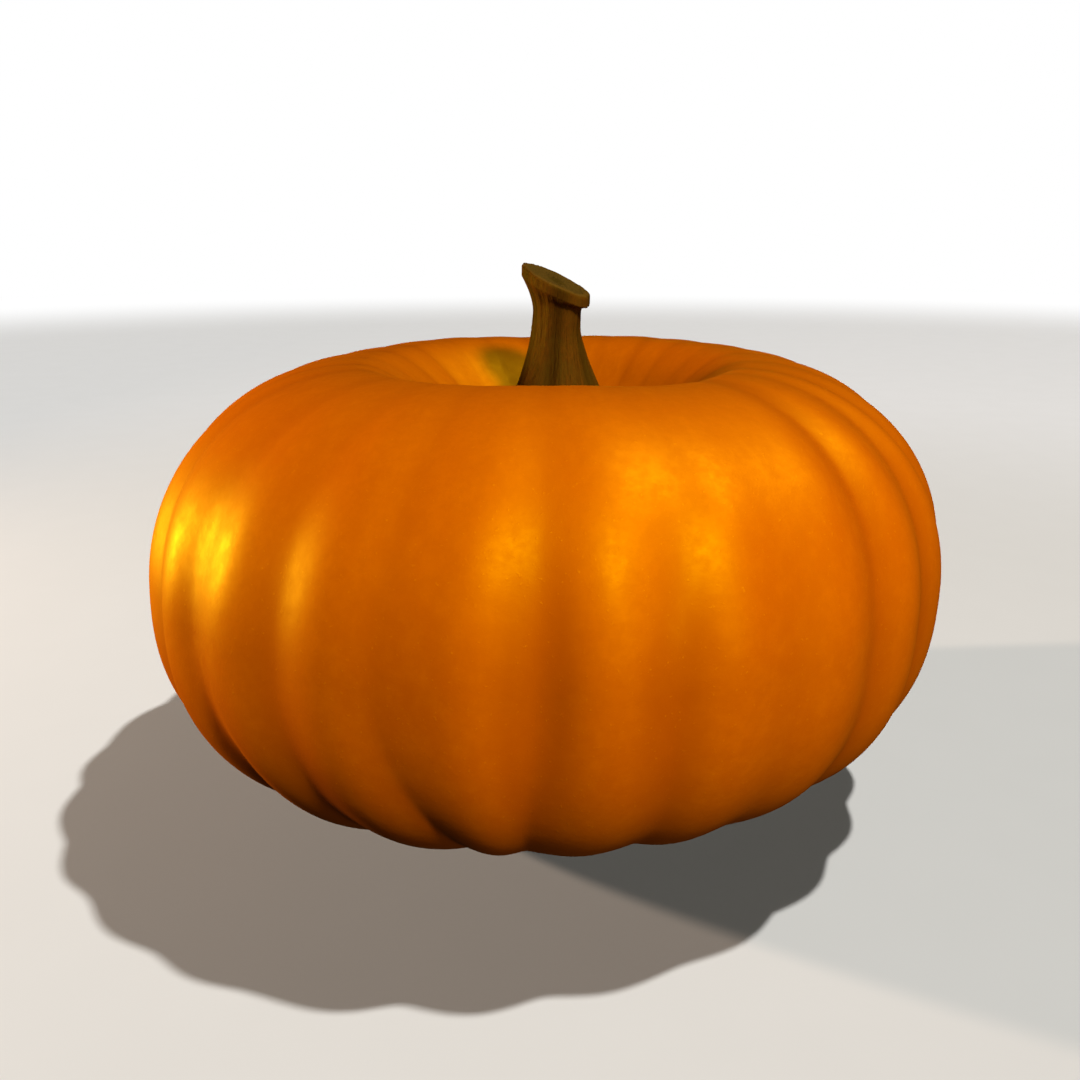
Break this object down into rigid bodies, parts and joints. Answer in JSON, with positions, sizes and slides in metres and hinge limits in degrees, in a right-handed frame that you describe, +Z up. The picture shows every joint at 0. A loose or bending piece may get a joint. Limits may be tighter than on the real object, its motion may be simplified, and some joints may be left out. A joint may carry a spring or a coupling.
{
  "type": "pumpkin",
  "caption": "Squat round pumpkin with shallow ribs, a deep dimple on top and a short flared cut stem, resting on a small flat spot.",
  "frame": {"origin": "on the surface that the pumpkin rests on, under the middle of its outline", "axes": "+Z up through the stem, -Y towards the front of the pumpkin, +X to the right as seen from the front"},
  "size_m": [0.2992, 0.299, 0.1955],
  "materials": {
    "rind": "satin waxy rind",
    "stem": "dull dry woody fibre"
  },
  "bodies": {
    "root": {"fruit": "rind", "stem": "stem"}
  },
  "joints": []
}
